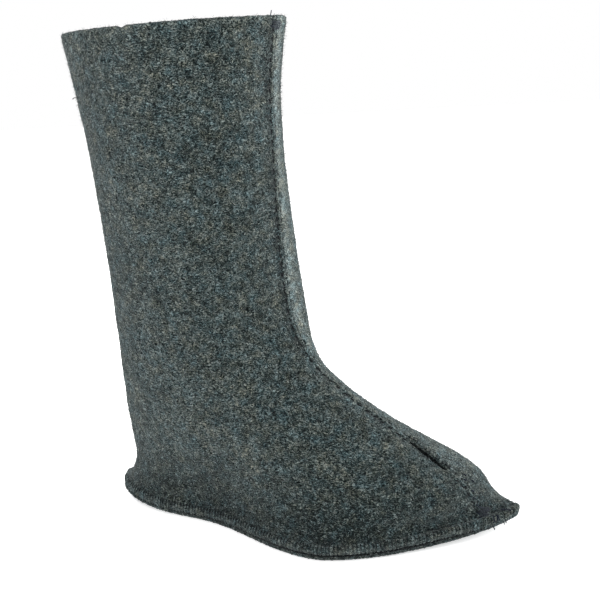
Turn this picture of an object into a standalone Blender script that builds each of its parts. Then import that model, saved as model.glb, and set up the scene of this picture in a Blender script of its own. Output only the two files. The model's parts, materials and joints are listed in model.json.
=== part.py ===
"""Grey wool-felt boot: a hollow felt upper on a separate felt sole.

Metres, +Z up, toe along +X.  The near side of the boot (its outer side) is -Y
and the far side (its inner side) is +Y.  The tables are in millimetres from
the back of the heel and are scaled and centred when the meshes are made.
"""
import math

import bpy
import numpy as np

MM = 0.001

POINTS_AROUND = 64
CURVE_STEPS = 120

SOLE_THICK = 5.0
WALL = 5.5
EDGE_ROUND = 1.0

# The heel curls up a little behind this station and the toe ahead of the other.
HEEL_BREAK_X = 75.0
HEEL_CURL = 5.0
TOE_BREAK_X = 225.0
TOE_SPRING = 7.0
TOE_REACH = 88.0
CURL_POWER = 1.5
# The curl fades out of the upper between these two heights.
CURL_FULL_Z = 10.0
CURL_GONE_Z = 75.0

# Where the arch draws the outline in, and over what length, on each side.
NEAR_WAIST_X = 93.4
NEAR_WAIST_LENGTH = 59.5
FAR_WAIST_X = 118.0
FAR_WAIST_LENGTH = 54.8

# The front seam is open between these two heights, as a narrow slit.
SLIT_LOW_Z = 45.0
SLIT_HIGH_Z = 67.0
SLIT_WIDTH = 2.0
SLIT_STATIONS = 12
SLIT_OVERCUT = 4.0
# The slit's ends keep a little of its width instead of closing to nothing.
SLIT_END_SHARE = 0.15

# Below this height the inner wall stands above the flange and flares outward.
FLARE_TOP_Z = 20.0
FLARE_REACH = 2.5

LEVEL_COLUMNS = (
    "z", "steps", "back", "front", "tip_y", "seam_y", "near", "far", "x_near", "x_far",
    "full_near", "full_far", "nose_near", "nose_far", "heel_near", "heel_far",
    "waist_near", "waist_far",
)

# One row for each level section of the outside of the upper.
# steps is the number of mesh levels up to the next row, near and far the half
# widths, x_near and x_far where they are reached, full and nose how full the
# front quarters are at their side and at the tip, heel the same at the back,
# and waist how far the arch is drawn in.
LEVELS = (
    (5.3, 1, 1.4, 312.8, 8.6, -8, 71.0, 44.5, 183.4, 207.8, .27, .45, .15, .20, .42, .71, 22.6, 15.7),
    (6.3, 1, 0.5, 313.6, 8.6, -8, 71.9, 45.3, 183.4, 207.8, .27, .45, .15, .20, .42, .71, 22.6, 15.7),
    (8.0, 1, 0.5, 313.4, 8.8, -8, 71.7, 45.2, 183.3, 207.7, .27, .45, .13, .21, .42, .71, 22.3, 15.6),
    (9.5, 1, 1.9, 311.7, 9.5, -8, 70.3, 44.4, 183.0, 207.5, .28, .46, .11, .25, .43, .70, 21.7, 15.3),
    (11.5, 1, 4.2, 307.3, 10.5, -8, 67.5, 43.0, 182.5, 207.0, .30, .48, .15, .30, .44, .68, 20.5, 14.6),
    (14.0, 1, 6.3, 303.4, 11.0, -8, 64.0, 41.5, 182.0, 206.0, .33, .50, .21, .38, .45, .66, 19.0, 13.5),
    (18.0, 1, 8.8, 297.9, 12.0, -8, 60.5, 40.5, 181.0, 205.0, .37, .53, .34, .46, .47, .63, 17.0, 12.0),
    (24.0, 2, 11.4, 293.7, 12.5, -9, 57.0, 40.0, 180.0, 204.0, .42, .57, .44, .54, .48, .60, 15.0, 10.5),
    (34.0, 3, 13.3, 287.6, 12.5, -9, 52.0, 39.0, 177.0, 200.0, .50, .60, .48, .60, .50, .58, 11.0, 7.5),
    (48.0, 3, 12.7, 270.8, 7.8, -9, 47.0, 38.0, 160.0, 185.0, .55, .61, .49, .60, .54, .56, 6.0, 4.0),
    (60.0, 3, 12.0, 253.4, 1.5, -9, 44.0, 37.0, 142.0, 165.0, .55, .55, .48, .52, .55, .55, 3.0, 2.0),
    (78.0, 3, 11.3, 226.4, -3.5, -8, 42.0, 37.0, 118.0, 130.0, .55, .46, .45, .40, .55, .55, 1.0, 0.7),
    (100.0, 3, 11.7, 195.2, -4.8, -7, 41.0, 38.0, 100.0, 108.0, .55, .43, .42, .34, .55, .55, 0, 0),
    (120.0, 3, 12.0, 174.6, -3.0, -7, 41.0, 39.0, 92.0, 100.0, .55, .47, .38, .38, .55, .55, 0, 0),
    (150.0, 2, 12.0, 164.0, 4.0, -8, 42.0, 41.0, 88.0, 100.0, .55, .59, .35, .58, .55, .55, 0, 0),
    (200.0, 2, 11.2, 159.5, 1.8, -9, 44.0, 44.0, 86.0, 96.0, .55, .58, .35, .58, .55, .55, 0, 0),
    (260.0, 2, 8.5, 157.0, -3.9, -9, 46.0, 47.0, 84.0, 88.0, .55, .55, .35, .55, .55, .55, 0, 0),
    (310.0, 2, 3.0, 157.8, -4.6, -9, 48.0, 49.0, 84.0, 84.0, .55, .55, .35, .55, .55, .55, 0, 0),
    (355.0, 1, -4.2, 165.8, -4.0, -10, 50.0, 51.0, 84.0, 84.0, .55, .55, .40, .55, .55, .55, 0, 0),
)
COLLAR_ROUND_Z = 356.0
RIM_TOP_Z = 10.0

# The sole's rings, from the middle of the underside out to the edge and back
# over the top: how far in from the edge, and the part of the thickness.
SOLE_RINGS = (
    (1.00, 0.0),
    (0.70, 0.0),
    (0.38, 0.0),
    (0.13, 0.0),
    (0.02, 0.0),
    (0.00, 0.25),
    (0.00, 0.75),
    (0.02, 1.0),
    (0.13, 1.0),
    (0.38, 1.0),
    (0.70, 1.0),
    (1.00, 1.0),
)
SPINE_SHARE = 0.70
# The innermost rings fall together in pairs along the middle and are welded.
WELD_DISTANCE = 0.00001

UPPER_COLOUR = (0.066, 0.083, 0.081, 1.0)
SOLE_COLOUR = (0.050, 0.060, 0.058, 1.0)
FELT_ROUGHNESS = 0.95


def clear_scene():
    """Remove every object so the part starts from an empty scene."""
    for existing in list(bpy.data.objects):
        bpy.data.objects.remove(existing, do_unlink=True)


def monotone_slopes(xs, ys):
    """Slopes at the rows that keep the curve between them free of overshoot."""
    steps = np.diff(xs)
    chords = np.diff(ys) / steps
    slopes = np.zeros_like(ys)
    slopes[0] = chords[0]
    slopes[-1] = chords[-1]
    for row in range(1, len(xs) - 1):
        before = chords[row - 1]
        after = chords[row]
        if before * after > 0:
            weight_before = 2 * steps[row] + steps[row - 1]
            weight_after = steps[row] + 2 * steps[row - 1]
            total = weight_before + weight_after
            slopes[row] = total / (weight_before / before + weight_after / after)
    return slopes


def smooth_through(xs, ys, x):
    """Value and slope at x of a smooth curve through the table points."""
    slopes = monotone_slopes(xs, ys)
    row = int(np.clip(np.searchsorted(xs, x) - 1, 0, len(xs) - 2))
    width = xs[row + 1] - xs[row]
    t = (x - xs[row]) / width
    rise = ys[row + 1] - ys[row]
    value = (
        ys[row]
        + width * slopes[row] * t * (1 - t) ** 2
        + rise * t * t * (3 - 2 * t)
        - width * slopes[row + 1] * t * t * (1 - t)
    )
    slope = (
        slopes[row] * (1 - t) * (1 - 3 * t)
        + 6 * rise / width * t * (1 - t)
        + slopes[row + 1] * t * (3 * t - 2)
    )
    return value, slope


def level_section(z):
    """The outside section at height z, with the slope of each of its sizes."""
    table = np.array(LEVELS, dtype=float)
    section = {"z": z}
    slopes = {}
    for column, name in enumerate(LEVEL_COLUMNS):
        if name in ("z", "steps"):
            continue
        value, slope = smooth_through(table[:, 0], table[:, column], z)
        section[name] = value
        slopes[name] = slope
    return section, slopes


def shrink(section, amounts):
    """A section drawn in by an amount for each of its four extents."""
    smaller = dict(section)
    smaller["back"] += amounts["back"]
    smaller["front"] -= amounts["front"]
    smaller["near"] -= amounts["near"]
    smaller["far"] -= amounts["far"]
    return smaller


def inner_section(z):
    """The inside section at height z: the outside one less the felt wall."""
    section, slopes = level_section(max(z, FLARE_TOP_Z))
    amounts = {}
    for name in ("back", "front", "near", "far"):
        amounts[name] = WALL * math.hypot(1.0, slopes[name])
    if z < FLARE_TOP_Z:
        share = (FLARE_TOP_Z - z) / (FLARE_TOP_Z - LEVELS[0][0])
        for name in amounts:
            amounts[name] -= FLARE_REACH * share ** 2
    section["z"] = z
    return shrink(section, amounts)


def quarter(start, start_handle, end_handle, end):
    """Points of one cubic quarter of a section."""
    t = np.linspace(0.0, 1.0, CURVE_STEPS)[:, None]
    return (
        (1 - t) ** 3 * np.array(start)
        + 3 * t * (1 - t) ** 2 * np.array(start_handle)
        + 3 * t * t * (1 - t) * np.array(end_handle)
        + t ** 3 * np.array(end)
    )


def half_outline(section, side):
    """One side of a section, from the tip of the toe to the back of the heel."""
    sign = -1.0 if side == "near" else 1.0
    width = section[side]
    widest_x = section["x_" + side]
    side_y = sign * width
    tip = (section["front"], section["tip_y"])
    tip_handle = (tip[0], tip[1] + section["nose_" + side] * (side_y - tip[1]))
    fore_handle = (widest_x + section["full_" + side] * (tip[0] - widest_x), side_y)
    back = (section["back"], 0.0)
    heel = section["heel_" + side]
    aft_handle = (widest_x - heel * (widest_x - back[0]), side_y)
    back_handle = (back[0], heel * side_y)
    front_part = quarter(tip, tip_handle, fore_handle, (widest_x, side_y))
    back_part = quarter((widest_x, side_y), aft_handle, back_handle, back)
    points = np.vstack([front_part, back_part[1:]])
    waist_x = NEAR_WAIST_X if side == "near" else FAR_WAIST_X
    waist_length = NEAR_WAIST_LENGTH if side == "near" else FAR_WAIST_LENGTH
    hollow = np.exp(-(((points[:, 0] - waist_x) / waist_length) ** 2))
    points[:, 1] -= sign * section["waist_" + side] * hollow * np.abs(points[:, 1]) / width
    return points


def evenly(points, count):
    """The line through the points, cut into count equal lengths."""
    lengths = np.hypot(*np.diff(points, axis=0).T)
    along = np.concatenate([[0.0], np.cumsum(lengths)])
    marks = np.linspace(0.0, along[-1], count + 1)
    return np.stack([np.interp(marks, along, points[:, i]) for i in (0, 1)], axis=1)


def section_ring(section):
    """A closed ring of points from the front seam round the near side."""
    near = half_outline(section, "near")
    far = half_outline(section, "far")
    crossing = int(np.argmax(near[:, 1] <= section["seam_y"]))
    if crossing == 0:
        seam = near[0]
        beyond = near[:0]
        rest = near[1:]
    else:
        above = near[crossing - 1]
        below = near[crossing]
        share = (section["seam_y"] - above[1]) / (below[1] - above[1])
        seam = above + share * (below - above)
        beyond = near[:crossing][::-1]
        rest = near[crossing:]
    near_side = np.vstack([seam, rest])
    far_side = np.vstack([seam, beyond, far[1:]])
    half = POINTS_AROUND // 2
    near_half = evenly(near_side, half)[:-1]
    far_half = evenly(far_side[::-1], half)[:-1]
    return np.vstack([near_half, far_half])


def curl(x):
    """Height of the sole's underside above the ground at station x."""
    behind = np.clip((HEEL_BREAK_X - x) / HEEL_BREAK_X, 0.0, None)
    ahead = np.clip((x - TOE_BREAK_X) / TOE_REACH, 0.0, None)
    return HEEL_CURL * behind ** CURL_POWER + TOE_SPRING * ahead ** CURL_POWER


def raise_ring(ring, z):
    """Place a plan ring at level z, following the curl of the sole."""
    fade = np.clip((CURL_GONE_Z - z) / (CURL_GONE_Z - CURL_FULL_Z), 0.0, 1.0)
    return np.column_stack([ring, z + curl(ring[:, 0]) * fade])


def mesh_heights():
    """Heights of the mesh levels from the flange's underside to the collar."""
    heights = []
    for row, following in zip(LEVELS, LEVELS[1:]):
        steps = row[1]
        for step in range(steps):
            heights.append(row[0] + (following[0] - row[0]) * step / steps)
    heights.append(LEVELS[-1][0])
    return heights


def inner_heights():
    """Heights of the inside levels, leaving out those within the flange's rim."""
    underside_z = LEVELS[0][0]
    return [z for z in mesh_heights() if z == underside_z or z > RIM_TOP_Z]


def outer_point(z, index=0):
    """A point of the outside at level z."""
    section, _ = level_section(z)
    return raise_ring(section_ring(section), z)[index]


def inner_point(z, index=0):
    """A point of the inside at level z."""
    return raise_ring(section_ring(inner_section(z)), z)[index]


def ring_faces(ring_count, closed):
    """Quads between neighbouring rings, and from the last to the first."""
    count = POINTS_AROUND
    faces = []
    last = ring_count if closed else ring_count - 1
    for ring in range(last):
        following = (ring + 1) % ring_count
        for point in range(count):
            neighbour = (point + 1) % count
            faces.append((
                ring * count + point,
                ring * count + neighbour,
                following * count + neighbour,
                following * count + point,
            ))
    return faces


def felt_material(name, colour):
    """A plain matt felt material."""
    material = bpy.data.materials.new(name)
    material.use_nodes = True
    shader = material.node_tree.nodes["Principled BSDF"]
    shader.inputs["Base Color"].default_value = colour
    shader.inputs["Roughness"].default_value = FELT_ROUGHNESS
    return material


def face_outward(mesh):
    """Turn the faces outward if the closed body comes out inside out."""
    mesh.calc_loop_triangles()
    volume = 0.0
    for triangle in mesh.loop_triangles:
        a, b, c = (mesh.vertices[i].co for i in triangle.vertices)
        volume += a.dot(b.cross(c))
    if volume < 0:
        mesh.flip_normals()


def new_body(name, points, faces, centre, material=None):
    """A mesh object from points in millimetres, centred and scaled to metres."""
    placed = (np.asarray(points) - centre) * MM
    mesh = bpy.data.meshes.new(name)
    mesh.from_pydata([tuple(p) for p in placed], [], faces)
    mesh.validate()
    mesh.shade_smooth()
    face_outward(mesh)
    body = bpy.data.objects.new(name, mesh)
    bpy.context.collection.objects.link(body)
    if material is not None:
        mesh.materials.append(material)
    return body


def upper_rings():
    """Rings of the upper: up the inside, over the collar, down the outside."""
    rings = []
    for z in inner_heights():
        rings.append(raise_ring(section_ring(inner_section(z)), z))
    top_z = LEVELS[-1][0]
    rounding = dict.fromkeys(("back", "front", "near", "far"), EDGE_ROUND)
    widening = dict.fromkeys(("back", "front", "near", "far"), -EDGE_ROUND)
    inner_rim = shrink(inner_section(top_z), widening)
    outer_rim = shrink(level_section(top_z)[0], rounding)
    rings.append(raise_ring(section_ring(inner_rim), COLLAR_ROUND_Z))
    rings.append(raise_ring(section_ring(outer_rim), COLLAR_ROUND_Z))
    for z in reversed(mesh_heights()):
        section, _ = level_section(z)
        rings.append(raise_ring(section_ring(section), z))
    return rings


def sole_body(centre):
    """The sole: a felt plate under the whole flange, curled at heel and toe."""
    section, _ = level_section(LEVELS[1][0])
    outline = section_ring(section)
    count = POINTS_AROUND
    paired = (outline + outline[(-np.arange(count)) % count]) / 2
    middle_x = (outline[:, 0].min() + outline[:, 0].max()) / 2
    spine = np.column_stack([
        middle_x + SPINE_SHARE * (paired[:, 0] - middle_x),
        SPINE_SHARE * paired[:, 1],
    ])
    points = []
    for inward, height in SOLE_RINGS:
        ring = outline + inward * (spine - outline)
        z = curl(ring[:, 0]) + height * SOLE_THICK
        points.append(np.column_stack([ring, z]))
    faces = ring_faces(len(SOLE_RINGS), closed=False)
    body = new_body("sole", np.vstack(points), faces, centre, felt_material("felt_sole", SOLE_COLOUR))
    weld = body.modifiers.new("weld_middle", "WELD")
    weld.merge_threshold = WELD_DISTANCE
    return body


def slit_cutter(centre):
    """A thin blade along the front seam, pointed at both ends."""
    points = []
    for station in range(SLIT_STATIONS + 1):
        share = station / SLIT_STATIONS
        z = SLIT_LOW_Z + share * (SLIT_HIGH_Z - SLIT_LOW_Z)
        outside = outer_point(z)
        inside = inner_point(z)
        ahead = outer_point(z + 1.0) - outer_point(z - 1.0)
        inward = inside - outside
        inward /= np.linalg.norm(inward)
        across = np.cross(ahead, inward)
        across /= np.linalg.norm(across)
        fullness = max(math.sin(math.pi * share), SLIT_END_SHARE)
        half_width = SLIT_WIDTH / 2 * math.sqrt(fullness)
        high = outside - SLIT_OVERCUT * inward
        low = inside + SLIT_OVERCUT * inward
        points += [
            high + half_width * across,
            high - half_width * across,
            low - half_width * across,
            low + half_width * across,
        ]
    faces = [(0, 1, 2, 3)]
    for station in range(SLIT_STATIONS):
        base = 4 * station
        for corner in range(4):
            neighbour = (corner + 1) % 4
            faces.append((base + corner, base + 4 + corner, base + 4 + neighbour, base + neighbour))
    end = 4 * SLIT_STATIONS
    faces.append((end + 3, end + 2, end + 1, end))
    cutter = new_body("slit_cutter", points, faces, centre)
    cutter.hide_render = True
    cutter.display_type = "WIRE"
    return cutter


def upper_body(rings, centre):
    """The upper: one hollow felt body, open at the collar, underneath and at the slit."""
    faces = ring_faces(len(rings), closed=True)
    body = new_body("upper", np.vstack(rings), faces, centre, felt_material("felt_upper", UPPER_COLOUR))
    cut = body.modifiers.new("slit", "BOOLEAN")
    cut.operation = "DIFFERENCE"
    cut.solver = "EXACT"
    cut.object = slit_cutter(centre)
    return body


def build():
    """Build both pieces about the middle of the boot's footprint."""
    clear_scene()
    rings = upper_rings()
    everything = np.vstack(rings)
    low = everything.min(axis=0)
    high = everything.max(axis=0)
    centre = np.array([(low[0] + high[0]) / 2, (low[1] + high[1]) / 2, 0.0])
    upper_body(rings, centre)
    sole_body(centre)


build()
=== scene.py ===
"""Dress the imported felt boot: heathered felt, its nap, its sewing, and the studio.

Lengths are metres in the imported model's frame: +X to the toe, +Y to the boot's
inner side, +Z up, with the ground at zero.  The near side is -Y.
"""
from __future__ import annotations

import json
import logging
import math
from dataclasses import dataclass, field
from enum import Enum
from typing import Iterable, Sequence

import bpy
import numpy as np
from mathutils import Matrix, Vector
from mathutils.bvhtree import BVHTree

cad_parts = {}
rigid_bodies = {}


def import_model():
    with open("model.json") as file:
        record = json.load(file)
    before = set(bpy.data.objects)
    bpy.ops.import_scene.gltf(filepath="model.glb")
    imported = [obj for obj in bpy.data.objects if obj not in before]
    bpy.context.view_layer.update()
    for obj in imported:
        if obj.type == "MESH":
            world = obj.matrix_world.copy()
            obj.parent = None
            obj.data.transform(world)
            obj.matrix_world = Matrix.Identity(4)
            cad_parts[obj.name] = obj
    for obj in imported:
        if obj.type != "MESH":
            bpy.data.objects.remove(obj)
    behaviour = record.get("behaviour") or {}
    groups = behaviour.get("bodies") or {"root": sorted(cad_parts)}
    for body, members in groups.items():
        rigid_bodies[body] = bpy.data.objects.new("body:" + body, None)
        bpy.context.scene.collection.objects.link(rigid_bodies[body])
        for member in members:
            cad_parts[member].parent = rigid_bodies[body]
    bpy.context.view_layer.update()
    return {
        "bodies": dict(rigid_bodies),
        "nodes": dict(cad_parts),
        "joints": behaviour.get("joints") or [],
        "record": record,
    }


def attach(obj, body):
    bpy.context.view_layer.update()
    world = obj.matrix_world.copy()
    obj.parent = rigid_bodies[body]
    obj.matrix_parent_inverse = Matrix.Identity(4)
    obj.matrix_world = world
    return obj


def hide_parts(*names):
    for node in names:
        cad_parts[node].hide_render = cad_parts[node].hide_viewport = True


LOG = logging.getLogger("felt_boot")
MM = 0.001

Triple = tuple[float, float, float]
Stop = tuple[float, Triple]
Socket = bpy.types.NodeSocket
Piece = bpy.types.Object

# Where the underside starts to curl up, over what run, and how high it goes.
HEEL_CURL = (-0.0797, 0.075, 0.005)
TOE_CURL = (0.0703, 0.088, 0.007)
CURL_POWER = 1.5

# Where the edge is drawn in under the toe, over what run, how far, and up to what height.
TUCK_START = 0.128
TUCK_RUN = 0.030
TUCK_REACH = 0.0030
TUCK_HEIGHT = 0.0078


class FibreLie(Enum):
    """How a fibre leaves the felt: pressed flat on it, or standing off it."""

    PRESSED = "pressed"
    STANDING = "standing"


def deselect_all() -> None:
    """Leave nothing selected, so that an operator acts on one piece alone."""
    if bpy.context.object is not None and bpy.context.object.mode != "OBJECT":
        bpy.ops.object.mode_set(mode="OBJECT")
    bpy.ops.object.select_all(action="DESELECT")


def make_active(piece: Piece) -> None:
    """Select one piece and make it the active one.

    Args:
        piece: The piece that the next operator acts on.
    """
    deselect_all()
    piece.select_set(True)
    bpy.context.view_layer.objects.active = piece


def apply_modifier(piece: Piece, modifier: bpy.types.Modifier) -> None:
    """Apply one modifier to the piece's own mesh."""
    make_active(piece)
    bpy.ops.object.modifier_apply(modifier=modifier.name)


def triangles_in(piece: Piece) -> int:
    """Number of triangles in the piece's mesh."""
    return sum(len(face.vertices) - 2 for face in piece.data.polygons)


def unit_rows(rows: np.ndarray) -> np.ndarray:
    """Each row scaled to length one."""
    lengths = np.linalg.norm(rows, axis=1, keepdims=True)
    return rows / np.maximum(lengths, 1e-12)


def places_of(mesh: bpy.types.Mesh) -> np.ndarray:
    """The places of a mesh's points, one row each."""
    flat = np.zeros(len(mesh.vertices) * 3)
    mesh.vertices.foreach_get("co", flat)
    return flat.reshape(-1, 3)


def set_places(mesh: bpy.types.Mesh, places: np.ndarray) -> None:
    """Move a mesh's points to new places."""
    mesh.vertices.foreach_set("co", places.ravel())
    mesh.update()


def set_number(mesh: bpy.types.Mesh, name: str, numbers: np.ndarray) -> None:
    """Give every point of a mesh a number that its material can read."""
    layer = mesh.attributes.new(name, "FLOAT", "POINT")
    layer.data.foreach_set("value", numbers.astype(np.float32).ravel())


def number_of(mesh: bpy.types.Mesh, name: str) -> np.ndarray:
    """Read one number from every point of a mesh.

    Args:
        mesh: The mesh to read.
        name: The number's name.

    Returns:
        One number a point, or zeros where the mesh has none by that name.
    """
    numbers = np.zeros(len(mesh.vertices))
    if name in mesh.attributes:
        mesh.attributes[name].data.foreach_get("value", numbers)
    return numbers


def rising(value: np.ndarray | float, start: float, run: float) -> np.ndarray:
    """A share that climbs from zero to one over a run, and stays there."""
    return np.clip((value - start) / run, 0.0, 1.0)


def curl(x: np.ndarray | float) -> np.ndarray | float:
    """Height of the sole's underside above the ground at station x.

    Args:
        x: Station along the boot, toe positive.

    Returns:
        The lift at the curled heel and toe, and zero between them.
    """
    start, run, rise = HEEL_CURL
    behind = rise * np.maximum((start - x) / run, 0.0) ** CURL_POWER
    start, run, rise = TOE_CURL
    ahead = rise * np.maximum((x - start) / run, 0.0) ** CURL_POWER
    return behind + ahead


def toe_tuck(x: np.ndarray, height: np.ndarray | float) -> np.ndarray:
    """How far the edge is drawn in under the tip of the toe.

    Args:
        x: Station along the boot.
        height: Height above the curled underside.

    Returns:
        The distance, nothing but near the tip and most at the bottom.
    """
    near_tip = rising(x, TUCK_START, TUCK_RUN)
    return near_tip ** 2 * TUCK_REACH * np.maximum(1.0 - height / TUCK_HEIGHT, 0.0)


def new_piece(name: str, mesh: bpy.types.Mesh) -> Piece:
    """Put a mesh in the scene as a piece of its own.

    Args:
        name: The piece's name.
        mesh: Its mesh.

    Returns:
        The piece.
    """
    piece = bpy.data.objects.new(name, mesh)
    bpy.context.scene.collection.objects.link(piece)
    return piece


def mesh_of(name: str, points: np.ndarray, faces: np.ndarray) -> bpy.types.Mesh:
    """A mesh from rows of points and faces that all have as many corners.

    Args:
        name: The mesh's name.
        points: One row of three lengths for each point.
        faces: One row of point numbers for each face.

    Returns:
        The mesh, with its edges worked out.
    """
    mesh = bpy.data.meshes.new(name)
    mesh.vertices.add(len(points))
    mesh.vertices.foreach_set("co", points.ravel())
    mesh.loops.add(faces.size)
    mesh.loops.foreach_set("vertex_index", faces.ravel())
    mesh.polygons.add(len(faces))
    mesh.polygons.foreach_set("loop_start", np.arange(0, faces.size, faces.shape[1]))
    mesh.update(calc_edges=True)
    return mesh


def tube_faces(stations: int, around: int, closed: bool) -> np.ndarray:
    """Four-cornered faces between the rings of points along a tube.

    Args:
        stations: Number of rings.
        around: Number of points in each ring.
        closed: Whether the last ring joins the first.

    Returns:
        One row of point numbers for each face.
    """
    rings = stations if closed else stations - 1
    station, corner = np.meshgrid(np.arange(rings), np.arange(around), indexing="ij")
    after = (station + 1) % stations
    beside = (corner + 1) % around
    corners = (
        station * around + corner,
        station * around + beside,
        after * around + beside,
        after * around + corner,
    )
    return np.stack(corners, axis=2).reshape(-1, 4)


def dress_tube(piece: Piece, finish: HeatherFelt, cap_sides: int = 0) -> Piece:
    """Args:
        piece: The tube.
        finish: The felt that it is made of.
        cap_sides: Number of sides of its open ends, or zero for a closed loop.

    Returns:
        The finished piece.
    """
    make_active(piece)
    bpy.ops.object.mode_set(mode="EDIT")
    bpy.ops.mesh.select_all(action="SELECT")
    if cap_sides:
        bpy.ops.mesh.fill_holes(sides=cap_sides)
    bpy.ops.mesh.normals_make_consistent(inside=False)
    bpy.ops.object.mode_set(mode="OBJECT")
    bpy.ops.object.shade_smooth()
    piece.data.materials.append(finish.material())
    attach(piece, "root")
    return piece


class Surface:
    """A felt surface that sewing is laid on."""

    AHEAD = 0.4
    SUNK = -0.0007

    def __init__(self, piece: Piece) -> None:
        """Index the piece's faces for rays and nearest points.

        Args:
            piece: The felt piece.
        """
        mesh = piece.data
        points = [tuple(row) for row in places_of(mesh)]
        faces = [tuple(face.vertices) for face in mesh.polygons]
        self.tree = BVHTree.FromPolygons(points, faces)

    def nearest(self, point: Vector) -> tuple[Vector, Vector]:
        """Closest point of the felt and its outward direction there."""
        place, normal, _, _ = self.tree.find_nearest(point)
        return place, normal

    def from_front(self, y: float, z: float) -> Vector | None:
        """First point met by a level ray that comes from ahead of the toe."""
        place, _, _, _ = self.tree.ray_cast(Vector((self.AHEAD, y, z)), Vector((-1.0, 0.0, 0.0)))
        return place

    def lay(self, start: Vector, end: Vector, height: float, points: int = 6) -> list[Vector]:
        """A short run of thread on the felt that dips in at both ends.

        Args:
            start: Where the thread comes out.
            end: Where it goes in again.
            height: How high it lies above the felt.
            points: Number of points on the way.

        Returns:
            The thread's path.
        """
        path = []
        for share in np.linspace(0.0, 1.0, points):
            place, normal = self.nearest(start.lerp(end, float(share)))
            rise = height if 0.05 < share < 0.95 else self.SUNK
            path.append(place + normal * rise)
        return path


@dataclass(frozen=True)
class Polyline:
    """A run of evenly spaced points along a seam or an edge."""

    points: np.ndarray
    closed: bool

    FINE_STEPS = 12

    @classmethod
    def evenly(cls, rough: Sequence[Vector], count: int, closed: bool) -> Polyline:
        """A smooth line through rough points, cut into equal lengths.

        Args:
            rough: Points along the line, in order.
            count: Number of equal lengths.
            closed: Whether the line runs round to its start.

        Returns:
            The evenly cut line.
        """
        knots = np.array([tuple(point) for point in rough])
        if closed:
            padded = np.vstack([knots[-1:], knots, knots[:2]])
        else:
            padded = np.vstack([knots[:1], knots, knots[-1:]])
        fine = []
        for a, b, c, d in zip(padded, padded[1:], padded[2:], padded[3:]):
            for t in np.arange(cls.FINE_STEPS) / cls.FINE_STEPS:
                straight = 2 * b + (c - a) * t
                curved = (2 * a - 5 * b + 4 * c - d) * t ** 2
                twisted = (3 * b - a - 3 * c + d) * t ** 3
                fine.append((straight + curved + twisted) / 2)
        fine.append(knots[0] if closed else knots[-1])
        fine = np.array(fine)
        pieces = np.linalg.norm(np.diff(fine, axis=0), axis=1)
        lengths = np.concatenate([[0.0], np.cumsum(pieces)])
        marks = np.linspace(0.0, lengths[-1], count + 1)
        if closed:
            marks = marks[:-1]
        columns = [np.interp(marks, lengths, fine[:, axis]) for axis in range(3)]
        return cls(np.stack(columns, axis=1), closed)

    def directions(self) -> np.ndarray:
        """Direction of the line at each of its points.

        Returns:
            One row of length one for each point.
        """
        if self.closed:
            after = np.roll(self.points, -1, axis=0)
            return unit_rows(after - np.roll(self.points, 1, axis=0))
        return unit_rows(np.gradient(self.points, axis=0))

    def spacing(self) -> float:
        """Distance from one point to the next."""
        return float(np.linalg.norm(self.points[1] - self.points[0]))

    def between(self, low_z: float, high_z: float) -> Polyline:
        """The part of the line between two heights."""
        heights = self.points[:, 2]
        return Polyline(self.points[(heights > low_z) & (heights < high_z)], False)


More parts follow.
